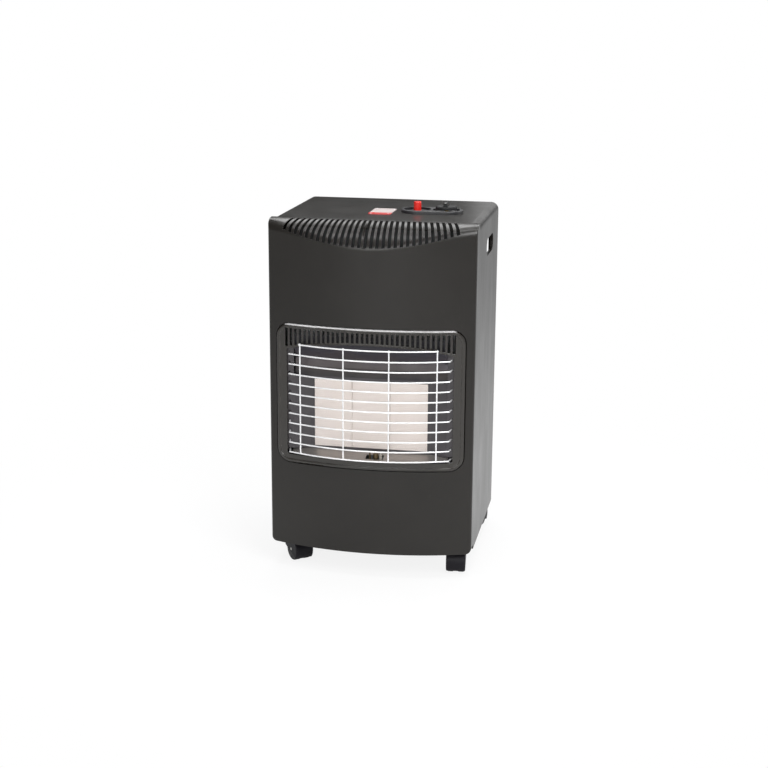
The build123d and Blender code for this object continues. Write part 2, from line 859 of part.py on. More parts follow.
def igniter_button():
    top = cabinet_height + well_floor + button_height
    button = prism_z(Circle(button_radius), top - 44, top)
    button = fillet(button.edges().group_by(Axis.Z)[-1], 2.5)
    return Pos(button_x, control_y, 0) * button


def button_spring():
    flange_z = cabinet_height + well_floor
    low = flange_z - 48 + 0.1
    high = flange_z + button_height - 44 - 0.1
    return spring(button_x, control_y, low, high, 5.5, 0.7, 5)


# Castors


def castor_place(index):
    side = -1 if index % 2 == 0 else 1
    y = castor_front_y if index < 2 else castor_rear_y
    return Pos(side * castor_stem_x, y, floor_z) * Rot(0, 0, castor_turns[index])


def castor_plates():
    """Four fixing plates under the tray, each with its riveted stem."""
    plate_z = tray_z - floor_z
    plates = []
    for index in range(4):
        plate = prism_z(RectangleRounded(plate_size, plate_size, 6), plate_z - 2.5, plate_z)
        for side in (-1, 1):
            plate -= Pos(side * plate_hole, side * plate_hole, plate_z) * Cylinder(2.1, 8)
        plate += prism_z(Circle(stem_radius), 48.5, plate_z - 2.5)
        x, y, z = castor_place(index).position
        plates.append(Pos(x, y, z) * plate)
    return Compound(children=plates)


def castor_hood(index):
    """Moulded hood with a bay for each wheel and a round socket for the stem."""
    axle = Pos(-castor_trail, wheel_radius)
    outline = axle * Circle(hood_radius)
    neck = [(-castor_trail, 24), (11, 30), (11, hood_top), (-castor_trail, hood_top)]
    outline += make_face(Polyline(*neck, neck[0]))
    skirt = [(-60, 6), (-44, 6), (12, 27), (14, 27), (14, -10), (-60, -10)]
    outline -= make_face(Polyline(*skirt, skirt[0]))
    hood = prism_x(outline, -castor_width / 2, castor_width / 2)
    ends = hood.edges().filter_by(lambda edge: edge.bounding_box().size.X < 0.1)
    hood = fillet([edge for edge in ends if edge.length > 20], 2.5)
    hood += prism_z(Circle(11), 40, tray_z - floor_z - 3.2)
    for side in (-1, 1):
        low, high = sorted((side * castor_web / 2, side * (castor_width / 2 - 1.5)))
        hood -= prism_x(axle * Circle(wheel_radius + 0.8), low, high)
    socket = prism_z(Circle(stem_radius + 0.05), 47.9, 60)
    bore = prism_x(axle * Circle(axle_radius + 0.05), -30, 30)
    return castor_place(index) * (hood - socket - bore)


def castor_axle(index):
    half = castor_width / 2 - 0.2
    start = (-half, -castor_trail, wheel_radius)
    return castor_place(index) * rod(start, (half, -castor_trail, wheel_radius), axle_radius)


def castor_wheels(index):
    """The two wheels pressed on one axle, one each side of the hood's web."""
    inner = castor_web / 2 + 0.6
    wheels = []
    for side in (-1, 1):
        low, high = sorted((side * inner, side * (inner + wheel_width)))
        tread = prism_x(Circle(wheel_radius) - Circle(axle_radius), low, high)
        rims = [edge for edge in tread.edges() if edge.bounding_box().size.Y > 45]
        tread = fillet(rims, 3)
        wheels.append(Pos(0, -castor_trail, wheel_radius) * tread)
    return castor_place(index) * Compound(children=wheels)


# Fasteners


def pan_screw(length):
    """Small pan-head screw, its head above z = 0 and its shank below."""
    head = fillet(prism_z(Circle(3.6), 0, 2.2).edges().group_by(Axis.Z)[-1], 1)
    return head + prism_z(Circle(1.9), -length, 0)


def castor_screws():
    screws = []
    for index in range(4):
        x, y, z = castor_place(index).position
        for side in (-1, 1):
            place = Pos(x + side * plate_hole, y + side * plate_hole, tray_z - 2.5)
            screws.append(place * Rot(180, 0, 0) * pan_screw(7))
    return Compound(children=screws)


# Assembly


def write_nodes():
    os.makedirs("parts", exist_ok=True)
    shift = Pos(0, -middle_y, -floor_z)
    for name, shape in nodes.items():
        export_step(shift * shape, f"parts/{name}.step")


def build_all():
    nodes["cabinet_wrapper"] = cabinet_wrapper()
    nodes["front_panel"] = front_panel()
    nodes["burner_surround"] = burner_surround()
    nodes["wire_guard"] = wire_guard()
    nodes["guard_uprights"] = guard_uprights()
    for name, side in (("left", -1), ("right", 1)):
        nodes[f"side_cheek_{name}"] = side_cheek(side)
    nodes["upper_reflector"] = upper_reflector()
    nodes["lower_reflector"] = lower_reflector()
    nodes["plaque_frame"] = plaque_frame()
    nodes["plaque_gasket"] = plaque_gasket()
    nodes["burner_housing"] = burner_housing()
    for index, name in enumerate(burner_names):
        nodes[f"ceramic_plaque_{name}"] = plaque(burner_x[index])
        nodes[f"venturi_tube_{name}"] = venturi_tube(burner_x[index])
        nodes[f"supply_pipe_{name}"] = supply_pipe(index)
    nodes["injector_rail"] = injector_rail()
    nodes["injectors"] = injectors()
    nodes["pilot_pipe"] = pilot_pipe()
    nodes["pilot_bracket"] = pilot_bracket()
    nodes["pilot_burner"] = pilot_burner()
    nodes["thermocouple"] = thermocouple()
    nodes["spark_electrode"] = spark_electrode()
    nodes["heat_shield"] = heat_shield()
    nodes["base_tray"] = base_tray()
    nodes["rear_cover"] = rear_cover()
    nodes["control_escutcheon"] = control_escutcheon()
    nodes["control_knob"] = control_knob()
    nodes["valve_spindle"] = valve_spindle()
    nodes["spindle_collar"] = spindle_collar()
    nodes["knob_spring"] = knob_spring()
    nodes["valve_bracket"] = valve_bracket()
    nodes["gas_valve"] = gas_valve()
    nodes["hose_nut"] = hose_nut()
    nodes["hose_tail"] = hose_tail()
    nodes["igniter_body"] = igniter_body()
    nodes["igniter_nut"] = igniter_nut()
    nodes["igniter_button"] = igniter_button()
    nodes["button_spring"] = button_spring()
    nodes["castor_plates"] = castor_plates()
    nodes["castor_screws"] = castor_screws()
    for index, name in enumerate(castor_names):
        nodes[f"castor_{name}_hood"] = castor_hood(index)
        nodes[f"castor_{name}_axle"] = castor_axle(index)
        nodes[f"castor_{name}_wheels"] = castor_wheels(index)


build_all()
write_nodes()
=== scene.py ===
import bmesh
import bpy
import json
from math import asin, cos, pi, radians, sin, sqrt
from mathutils import Matrix, Vector


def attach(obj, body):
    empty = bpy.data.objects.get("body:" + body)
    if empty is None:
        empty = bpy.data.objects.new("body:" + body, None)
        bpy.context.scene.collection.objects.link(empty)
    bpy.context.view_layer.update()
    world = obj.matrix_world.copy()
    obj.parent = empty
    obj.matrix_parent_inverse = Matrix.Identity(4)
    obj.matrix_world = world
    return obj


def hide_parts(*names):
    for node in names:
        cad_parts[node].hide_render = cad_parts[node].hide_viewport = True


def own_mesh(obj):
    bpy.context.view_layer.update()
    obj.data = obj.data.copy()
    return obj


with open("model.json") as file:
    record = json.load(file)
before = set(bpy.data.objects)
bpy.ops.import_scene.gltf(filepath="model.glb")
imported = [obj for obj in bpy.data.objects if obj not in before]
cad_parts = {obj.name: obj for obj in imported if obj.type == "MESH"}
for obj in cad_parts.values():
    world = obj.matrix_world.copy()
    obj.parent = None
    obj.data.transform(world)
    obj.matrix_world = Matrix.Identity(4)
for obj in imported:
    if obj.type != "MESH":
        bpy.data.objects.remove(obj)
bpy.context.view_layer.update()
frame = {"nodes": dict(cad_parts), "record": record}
cadNodes = frame["nodes"]
print("frame loaded with", len(cadNodes), "nodes")


drawing = {"middleY": 141.75, "floorZ": -52.0}  # where the frame's origin lies, in millimetres


def mm(value):
    return value / 1000


def place(x, y, z):
    # a point of the heater's drawing, in millimetres, as a point of the frame, in metres
    return Vector((x, y - drawing["middleY"], z - drawing["floorZ"])) / 1000


camera = {
    "stands": (0.5631, -3.0180, 1.1566),
    "turn": 10.676,  # degrees, to the left
    "tilt": 14.614,  # degrees, downwards
    "roll": 0.355,  # degrees
    "lens": 69.8,
    "sensor": 36.0,
    "sees": (0.05, 200.0),  # metres, nearest and farthest
}
studio = {
    "floorColor": (0.93, 0.93, 0.93),
    "floorSize": 60.0,
    "shadowReach": (0.45, 1.1),  # metres from the heater over which the floor turns plain white
    "shadowFade": 0.86,  # how far the shadow is faded close to the heater
    "mirroredWhite": 0.45,  # how much of the plain white shows in paint and metal
    "fillColor": (0.95, 0.97, 1.0),
    "fillAim": (0.65, -0.75, 0.25),  # the side the fill light is strongest on
    "fillLevels": (0.03, 0.56),  # behind the heater, and before it
    # name: place, aimed at, width, height, watts
    "lamps": {
        "keyLamp": ((1.8, -2.3, 2.5), (0, 0, 0.4), 1.5, 1.5, 62),
        "topLamp": ((0.0, 0.15, 2.6), (0, -0.15, 0.7), 1.8, 0.4, 9),
        "lipLamp": ((0.0, -0.60, 2.6), (0, -0.2, 0.45), 1.8, 0.22, 15),
        "skyLamp": ((0.05, 1.08, 2.02), (0.05, -0.15, 0.7), 1.7, 0.9, 22),
        "sideLamp": ((3.0, 1.2, 1.4), (0, 0, 0.4), 1.4, 1.8, 20),
        "frontLamp": ((-0.2, -3.6, 1.5), (0, 0, 0.35), 2.0, 1.6, 40),
        "backLamp": ((0.30, 2.2, 1.05), (0.2, 0, 0.7), 0.8, 0.6, 1.4),
    },
}


def setCamera():
    yaw, pitch, roll = (radians(camera[key]) for key in ("turn", "tilt", "roll"))
    ahead = Vector((-sin(yaw) * cos(pitch), cos(yaw) * cos(pitch), -sin(pitch)))
    right = Vector((cos(yaw), sin(yaw), 0))
    up = right.cross(ahead)
    rolledRight = right * cos(roll) + up * sin(roll)
    rolledUp = up * cos(roll) - right * sin(roll)
    lensData = bpy.data.cameras.new("mainCamera")
    lensData.lens = camera["lens"]
    lensData.sensor_width = camera["sensor"]
    lensData.clip_start, lensData.clip_end = camera["sees"]
    holder = bpy.data.objects.new("mainCamera", lensData)
    turn = Matrix((rolledRight, rolledUp, -ahead)).transposed()
    holder.matrix_world = Matrix.Translation(camera["stands"]) @ turn.to_4x4()
    bpy.context.scene.collection.objects.link(holder)
    bpy.context.scene.camera = holder


def setLamps():
    for name, (stands, aim, width, height, watts) in studio["lamps"].items():
        lampData = bpy.data.lights.new(name, "AREA")
        lampData.shape = "RECTANGLE"
        lampData.size = width
        lampData.size_y = height
        lampData.energy = watts
        lamp = bpy.data.objects.new(name, lampData)
        lamp.location = stands
        lamp.rotation_euler = (Vector(aim) - Vector(stands)).to_track_quat("-Z", "Y").to_euler()
        bpy.context.scene.collection.objects.link(lamp)


def feed(tree, socket, value):
    # gives a socket a link or a plain value, and a plain colour its opacity
    if isinstance(value, bpy.types.NodeSocket):
        tree.links.new(value, socket)
    elif socket.type == "RGBA" and len(value) == 3:
        socket.default_value = (*value, 1)
    else:
        socket.default_value = value


def put(tree, kind, sockets=None, **settings):
    # adds a node, with its settings first, because some of them change its sockets
    node = tree.nodes.new(kind)
    for key, value in settings.items():
        setattr(node, key, value)
    for key, value in (sockets or {}).items():
        feed(tree, node.inputs[key], value)
    return node


def sums(tree, operation, first, second=0.0, clamp=False):
    return put(tree, "ShaderNodeMath", {0: first, 1: second}, operation=operation,
               use_clamp=clamp).outputs[0]


def times(tree, *values, clamp=False):
    # the product of all the values, held between 0 and 1 if clamp is set
    product = values[0]
    for count, value in enumerate(values[1:], 2):
        product = sums(tree, "MULTIPLY", product, value, clamp=clamp and count == len(values))
    return product


def spread(tree, value, fromLow, fromHigh, toLow=0.0, toHigh=1.0, smooth=False):
    kind = "SMOOTHSTEP" if smooth else "LINEAR"
    return put(tree, "ShaderNodeMapRange", {
        "Value": value, "From Min": fromLow, "From Max": fromHigh,
        "To Min": toLow, "To Max": toHigh,
    }, interpolation_type=kind).outputs["Result"]


def blendColors(tree, share, first, second):
    # the Mix node's inputs 6 and 7 and its output 2 are its colours
    return put(tree, "ShaderNodeMix", {"Factor": share, 6: first, 7: second},
               data_type="RGBA").outputs[2]


def noise(tree, vector, scale, detail=2.0, roughness=0.5):
    return put(tree, "ShaderNodeTexNoise", {
        "Vector": vector, "Scale": scale, "Detail": detail, "Roughness": roughness,
    }).outputs["Fac"]


def blotches(tree, vector, size, detail=4.0, roughness=0.6):
    # size is the width of one blotch, in metres
    return noise(tree, vector, 1 / size, detail, roughness)


def stretched(tree, vector, scale):
    return put(tree, "ShaderNodeMapping", {"Vector": vector, "Scale": scale}).outputs["Vector"]


def split(tree, vector):
    return put(tree, "ShaderNodeSeparateXYZ", {"Vector": vector}).outputs


def startGroup(name, inputs, outputs):
    # an empty group, with what it is given and the sockets that its results go to
    tree = bpy.data.node_groups.new(name, "ShaderNodeTree")
    kinds = {"Vector": "NodeSocketVector", "Color": "NodeSocketColor"}
    for key, value in inputs.items():
        socket = tree.interface.new_socket(key, in_out="INPUT",
                                           socket_type=kinds.get(key, "NodeSocketFloat"))
        if value is not None:
            socket.default_value = value
    for key in outputs:
        tree.interface.new_socket(key, in_out="OUTPUT",
                                  socket_type=kinds.get(key, "NodeSocketFloat"))
    given = tree.nodes.new("NodeGroupInput").outputs
    made = tree.nodes.new("NodeGroupOutput").inputs
    return tree, given, made


paintPeel = {
    "peelRoughness": 0.45, "finer": 4.0, "fineShare": 0.25, "toneSize": 0.12, "tones": (0.3, 0.7),
}


def makePaintPeel():
    # the pebbled skin of powder coat, with slow changes of tone
    tree, given, made = startGroup("paintPeel", {"Vector": None, "Size": 0.0016},
                                   ("Height", "Tone"))
    vector = given["Vector"]
    scale = sums(tree, "DIVIDE", 1.0, given["Size"])
    peel = noise(tree, vector, scale, roughness=paintPeel["peelRoughness"])
    fine = noise(tree, vector, sums(tree, "MULTIPLY", scale, paintPeel["finer"]))
    both = sums(tree, "ADD", times(tree, peel, 1 - paintPeel["fineShare"]),
                times(tree, fine, paintPeel["fineShare"]))
    slow = blotches(tree, vector, paintPeel["toneSize"])
    tree.links.new(both, made["Height"])
    tree.links.new(spread(tree, slow, *paintPeel["tones"]), made["Tone"])
    return tree


edgeRub = {"samples": 4, "turned": (0.995, 0.86), "patchSize": 0.018, "patches": (0.42, 0.66)}


def makeEdgeRub():
    # paint rubbed thin along folds and cut edges, broken up by noise
    tree, given, made = startGroup("edgeRub", {"Vector": None, "Radius": 0.0012, "Amount": 0.5},
                                   ("Mask",))
    rounded = put(tree, "ShaderNodeBevel", {"Radius": given["Radius"]}, samples=edgeRub["samples"])
    flat = put(tree, "ShaderNodeNewGeometry")
    agreed = put(tree, "ShaderNodeVectorMath", {0: rounded.outputs["Normal"],
                                                1: flat.outputs["Normal"]}, operation="DOT_PRODUCT")
    edge = spread(tree, agreed.outputs["Value"], *edgeRub["turned"])
    uneven = blotches(tree, given["Vector"], edgeRub["patchSize"], detail=5.0, roughness=0.62)
    patches = spread(tree, uneven, *edgeRub["patches"])
    tree.links.new(times(tree, edge, patches, given["Amount"], clamp=True), made["Mask"])
    return tree


settledDust = {"facingUp": (0.35, 0.95), "driftSize": 0.05, "drifts": (0.35, 0.75)}


def makeSettledDust():
    # dust that lies on what faces up
    tree, given, made = startGroup("settledDust", {"Vector": None, "Amount": 0.3}, ("Mask",))
    surface = put(tree, "ShaderNodeNewGeometry")
    facing = split(tree, surface.outputs["Normal"])["Z"]
    up = spread(tree, facing, *settledDust["facingUp"], smooth=True)
    uneven = blotches(tree, given["Vector"], settledDust["driftSize"], detail=5.0, roughness=0.65)
    drift = spread(tree, uneven, *settledDust["drifts"])
    tree.links.new(times(tree, up, drift, given["Amount"], clamp=True), made["Mask"])
    return tree


handling = {
    "smearStretch": (1.0, 1.0, 0.35), "smearSize": 0.06, "smears": (0.3, 0.7),
    "hairStretch": (1.0, 1.0, 0.06), "hairSize": 0.004, "hairWidth": 0.004,
    "rareSize": 0.07, "rare": (0.60, 0.68),
}


def makeHandling():
    # wipe marks that change the gloss, and a few hair scratches
    tree, given, made = startGroup("handling", {"Vector": None, "Amount": 0.5},
                                   ("Gloss", "Scratch"))
    vector, amount = given["Vector"], given["Amount"]
    smear = blotches(tree, stretched(tree, vector, handling["smearStretch"]),
                     handling["smearSize"], detail=6.0)
    gloss = times(tree, spread(tree, smear, *handling["smears"], -1.0, 1.0), amount)
    hair = blotches(tree, stretched(tree, vector, handling["hairStretch"]),
                    handling["hairSize"], detail=2.0, roughness=0.4)
    line = sums(tree, "ABSOLUTE", sums(tree, "SUBTRACT", hair, 0.5))
    thin = spread(tree, line, handling["hairWidth"], 0.0)
    patches = blotches(tree, vector, handling["rareSize"], detail=3.0, roughness=0.5)
    rare = spread(tree, patches, *handling["rare"])
    tree.links.new(gloss, made["Gloss"])
    tree.links.new(times(tree, thin, rare, amount, clamp=True), made["Scratch"])
    return tree


rolledGrain = {"toneSize": 0.02, "tones": (0.3, 0.7)}


def makeRolledGrain():
    # fine lines that rolling, drawing or polishing leaves in metal
    tree, given, made = startGroup("rolledGrain", {"Vector": None, "Size": 0.0006},
                                   ("Height", "Tone"))
    vector = given["Vector"]
    scale = sums(tree, "DIVIDE", 1.0, given["Size"])
    slow = blotches(tree, vector, rolledGrain["toneSize"])
    tree.links.new(noise(tree, vector, scale, detail=3.0, roughness=0.6), made["Height"])
    tree.links.new(spread(tree, slow, *rolledGrain["tones"]), made["Tone"])
    return tree


heatTint = {
    "unevenSize": 0.05, "shift": 0.03,  # metres by which the bands wander up and down
    "tints": (
        (0.0, (0.62, 0.60, 0.57)), (0.3, (0.60, 0.52, 0.40)), (0.5, (0.46, 0.33, 0.27)),
        (0.68, (0.30, 0.22, 0.30)), (0.84, (0.20, 0.20, 0.30)), (1.0, (0.34, 0.34, 0.38)),
    ),
}


def makeHeatTint():
    # straw, brown, violet and blue that hot steel takes on, in uneven bands
    tree, given, made = startGroup("heatTint", {"Vector": None, "Low": 0.3, "High": 0.5},
                                   ("Color", "Mask"))
    vector, shift = given["Vector"], heatTint["shift"]
    uneven = blotches(tree, vector, heatTint["unevenSize"], roughness=0.55)
    height = sums(tree, "ADD", split(tree, vector)["Z"],
                  spread(tree, uneven, 0.0, 1.0, -shift, shift))
    heat = spread(tree, height, given["Low"], given["High"])
    bands = put(tree, "ShaderNodeValToRGB", {"Fac": heat})
    ramp = bands.color_ramp.elements
    first, *between, last = heatTint["tints"]
    for stop, (where, tint) in ((ramp[0], first), (ramp[1], last)):
        stop.position, stop.color = where, (*tint, 1)
    for where, tint in between:
        ramp.new(where).color = (*tint, 1)
    tree.links.new(bands.outputs["Color"], made["Color"])
    tree.links.new(heat, made["Mask"])
    return tree


effects = {
    "paintPeel": makePaintPeel(),
    "edgeRub": makeEdgeRub(),
    "settledDust": makeSettledDust(),
    "handling": makeHandling(),
    "rolledGrain": makeRolledGrain(),
    "heatTint": makeHeatTint(),
}
print("shared effects made:", ", ".join(effects))


def newFinish(name):
    finish = bpy.data.materials.new(name)
    finish.use_nodes = True
    tree = finish.node_tree
    vector = put(tree, "ShaderNodeTexCoord").outputs["Object"]
    return finish, tree, tree.nodes["Principled BSDF"], vector


def effect(tree, name, sockets):
    return put(tree, "ShaderNodeGroup", sockets, node_tree=effects[name]).outputs


def wear(tree, vector, look):
    # rubbed edges and handling marks, which every finish but the tiles has
    rub = effect(tree, "edgeRub", {"Vector": vector, "Radius": look["edgeRadius"],
                                   "Amount": look["edgeRub"]})
    hands = effect(tree, "handling", {"Vector": vector, "Amount": look["handling"]})
    return rub["Mask"], hands


def finishShader(tree, shader, color, rough, height, skin):
    # joins colour and roughness to the shader, and a skin bumped by the height on softened edges
    soft = put(tree, "ShaderNodeBevel", {"Radius": skin["edgeRadius"]}, samples=skin["samples"])
    bump = put(tree, "ShaderNodeBump", {"Height": height, "Normal": soft.outputs["Normal"],
                                        "Strength": skin["depth"], "Distance": skin["distance"]})
    tree.links.new(color, shader.inputs["Base Color"])
    tree.links.new(rough, shader.inputs["Roughness"])
    tree.links.new(bump.outputs["Normal"], shader.inputs["Normal"])


coats = {  # what sets paint and mouldings apart, whatever their colour
    "paint": {"scratches": 0.5, "glossSwing": 0.07, "dustDulls": 0.3,
              "samples": 6, "distance": 0.0004},
    "moulding": {"scratches": 0.0, "glossSwing": 0.08, "dustDulls": 0.3,
                 "samples": 4, "distance": 0.0002},
}


def coatedPart(name, look, coat):
    # powder coat or heat-proof paint on sheet, or a grained or glossy moulding
    finish, tree, shader, vector = newFinish(name)
    peel = effect(tree, "paintPeel", {"Vector": vector, "Size": look["grainSize"]})
    dust = effect(tree, "settledDust", {"Vector": vector, "Amount": look["dust"]})["Mask"]
    rubbed, hands = wear(tree, vector, look)
    color = blendColors(tree, peel["Tone"], look["color"], look["colorLight"])
    color = blendColors(tree, rubbed, color, look["rubColor"])
    if coat["scratches"]:
        scratched = times(tree, hands["Scratch"], coat["scratches"])
        color = blendColors(tree, scratched, color, look["rubColor"])
    color = blendColors(tree, dust, color, look["dustColor"])
    rough = sums(tree, "ADD", look["roughness"], times(tree, hands["Gloss"], coat["glossSwing"]))
    rough = sums(tree, "ADD", rough, times(tree, dust, coat["dustDulls"]), clamp=True)
    finishShader(tree, shader, color, rough, peel["Height"],
                 {**coat, "edgeRadius": look["edgeRadius"], "depth": look["grainDepth"]})
    shader.inputs["Specular IOR Level"].default_value = look["specular"]
    return finish


bareMetal = {
    "grainShows": (0.35, 0.65), "grainHeights": (0.3, 0.7), "grainSwing": 0.05,
    "glossSwing": 0.06, "heatStarts": 0.35, "samples": 4, "distance": 0.0002,
}


def grainedMetal(name, look):
    # bare or plated metal, with its grain run along one axis
    finish, tree, shader, vector = newFinish(name)
    along = stretched(tree, vector, look["stretch"])
    grain = effect(tree, "rolledGrain", {"Vector": along, "Size": look["grainSize"]})
    rubbed, hands = wear(tree, vector, look)
    color = blendColors(tree, grain["Tone"], look["color"], look["colorDark"])
    lines = spread(tree, grain["Height"], *bareMetal["grainShows"], 0.0, look["grainTone"])
    color = blendColors(tree, lines, color, look["colorDark"])
    if "heat" in look:
        low, high, most = look["heat"]
        tint = effect(tree, "heatTint", {"Vector": vector, "Low": low, "High": high})
        share = times(tree, spread(tree, tint["Mask"], 0.0, bareMetal["heatStarts"]), most)
        color = blendColors(tree, share, color, tint["Color"])
    color = blendColors(tree, rubbed, color, look["rubColor"])
    gloss = times(tree, hands["Gloss"], bareMetal["glossSwing"])
    swing = bareMetal["grainSwing"]
    uneven = spread(tree, grain["Height"], *bareMetal["grainHeights"], -swing, swing)
    rough = sums(tree, "ADD", look["roughness"], gloss)
    rough = sums(tree, "ADD", rough, uneven, clamp=True)
    finishShader(tree, shader, color, rough, grain["Height"],
                 {**bareMetal, "edgeRadius": look["edgeRadius"], "depth": look["grainDepth"]})
    shader.inputs["Metallic"].default_value = look["metallic"]
    return finish


# in every finish, sizes, radii and the heights between which heat shows are in metres
paints = {
    "cabinetPaint": {
        "color": (0.0052, 0.0038, 0.0022), "colorLight": (0.0084, 0.0066, 0.0046),
        "rubColor": (0.12, 0.11, 0.10), "dustColor": (0.14, 0.125, 0.105),
        "roughness": 0.31, "specular": 0.44, "grainSize": 0.0017, "grainDepth": 0.10,
        "edgeRadius": 0.0009, "edgeRub": 0.35, "dust": 0.03, "handling": 0.5,
    },
    "surroundPaint": {
        "color": (0.0130, 0.0105, 0.0075), "colorLight": (0.0180, 0.0150, 0.0115),
        "rubColor": (0.14, 0.13, 0.12), "dustColor": (0.20, 0.18, 0.16),
        "roughness": 0.20, "specular": 0.62, "grainSize": 0.0013, "grainDepth": 0.05,
        "edgeRadius": 0.0026, "edgeRub": 0.25, "dust": 0.04, "handling": 0.5,
    },
    "hoodPaint": {
        "color": (0.032, 0.028, 0.031), "colorLight": (0.046, 0.040, 0.044),
        "rubColor": (0.16, 0.14, 0.15), "dustColor": (0.22, 0.20, 0.18),
        "roughness": 0.34, "specular": 0.6, "grainSize": 0.0010, "grainDepth": 0.06,
        "edgeRadius": 0.0008, "edgeRub": 0.5, "dust": 0.10, "handling": 0.8,
    },
}
metals = {
    "guardChrome": {
        "color": (0.93, 0.93, 0.94), "colorDark": (0.82, 0.82, 0.82),
        "rubColor": (0.95, 0.95, 0.94),
        "roughness": 0.26, "metallic": 0.35, "stretch": (1, 1, 1), "grainSize": 0.0012,
        "grainTone": 0.25, "grainDepth": 0.10, "edgeRadius": 0.0002, "edgeRub": 0.1,
        "handling": 0.6,
    },
    "hoodSteel": {
        "color": (0.024, 0.022, 0.027), "colorDark": (0.014, 0.0125, 0.016),
        "rubColor": (0.20, 0.19, 0.19), "roughness": 0.34, "metallic": 0.35,
        "stretch": (0.06, 1, 1), "grainSize": 0.0012, "grainTone": 0.35, "grainDepth": 0.12,
        "edgeRadius": 0.0008, "edgeRub": 0.6, "handling": 0.8, "heat": (0.395, 0.49, 0.05),
    },
    "sootedBrass": {
        "color": (0.26, 0.19, 0.10), "colorDark": (0.13, 0.10, 0.06),
        "rubColor": (0.45, 0.33, 0.17),
        "roughness": 0.42, "metallic": 0.9, "stretch": (1, 1, 3), "grainSize": 0.0009,
        "grainTone": 0.5, "grainDepth": 0.15, "edgeRadius": 0.0003, "edgeRub": 0.4,
        "handling": 0.8,
    },
    "polishedShelf": {
        "color": (0.42, 0.395, 0.375), "colorDark": (0.30, 0.28, 0.265),
        "rubColor": (0.6, 0.58, 0.56),
        "roughness": 0.40, "metallic": 0.9, "stretch": (0.05, 1, 1), "grainSize": 0.0010,
        "grainTone": 0.30, "grainDepth": 0.12, "edgeRadius": 0.0005, "edgeRub": 0.2,
        "handling": 1.0,
    },
    "zincSheet": {
        "color": (0.52, 0.53, 0.54), "colorDark": (0.38, 0.39, 0.40),
        "rubColor": (0.66, 0.66, 0.66),
        "roughness": 0.42, "metallic": 0.85, "stretch": (1, 1, 0.5), "grainSize": 0.0080,
        "grainTone": 0.5, "grainDepth": 0.06, "edgeRadius": 0.0005, "edgeRub": 0.4,
        "handling": 0.8,
    },
    "burnerSteel": {
        "color": (0.50, 0.48, 0.45), "colorDark": (0.36, 0.34, 0.31), "rubColor": (0.62, 0.6, 0.56),
        "roughness": 0.38, "metallic": 0.9, "stretch": (0.08, 1, 1), "grainSize": 0.0009,
        "grainTone": 0.35, "grainDepth": 0.12, "edgeRadius": 0.0005, "edgeRub": 0.3,
        "handling": 0.8, "heat": (0.24, 0.42, 0.6),
    },
    "turnedBrass": {
        "color": (0.70, 0.51, 0.24), "colorDark": (0.50, 0.35, 0.16),
        "rubColor": (0.82, 0.66, 0.36),
        "roughness": 0.28, "metallic": 1.0, "stretch": (1, 1, 6), "grainSize": 0.0011,
        "grainTone": 0.4, "grainDepth": 0.12, "edgeRadius": 0.0003, "edgeRub": 0.5,
        "handling": 0.8,
    },
    "drawnAluminium": {
        "color": (0.70, 0.70, 0.71), "colorDark": (0.55, 0.55, 0.56), "rubColor": (0.8, 0.8, 0.8),
        "roughness": 0.34, "metallic": 0.95, "stretch": (1, 1, 0.1), "grainSize": 0.0006,
        "grainTone": 0.3, "grainDepth": 0.10, "edgeRadius": 0.0003, "edgeRub": 0.2,
        "handling": 0.8,
    },
    "springWire": {
        "color": (0.46, 0.46, 0.48), "colorDark": (0.30, 0.30, 0.32), "rubColor": (0.6, 0.6, 0.6),
        "roughness": 0.30, "metallic": 1.0, "stretch": (1, 1, 1), "grainSize": 0.0005,
        "grainTone": 0.4, "grainDepth": 0.10, "edgeRadius": 0.0001, "edgeRub": 0.1,
        "handling": 0.5,
    },
    "zincPlate": {
        "color": (0.58, 0.58, 0.56), "colorDark": (0.45, 0.44, 0.40),
        "rubColor": (0.72, 0.72, 0.72),
        "roughness": 0.32, "metallic": 0.95, "stretch": (1, 1, 1), "grainSize": 0.0010,
        "grainTone": 0.35, "grainDepth": 0.08, "edgeRadius": 0.0003, "edgeRub": 0.4,
        "handling": 0.8,
    },
}
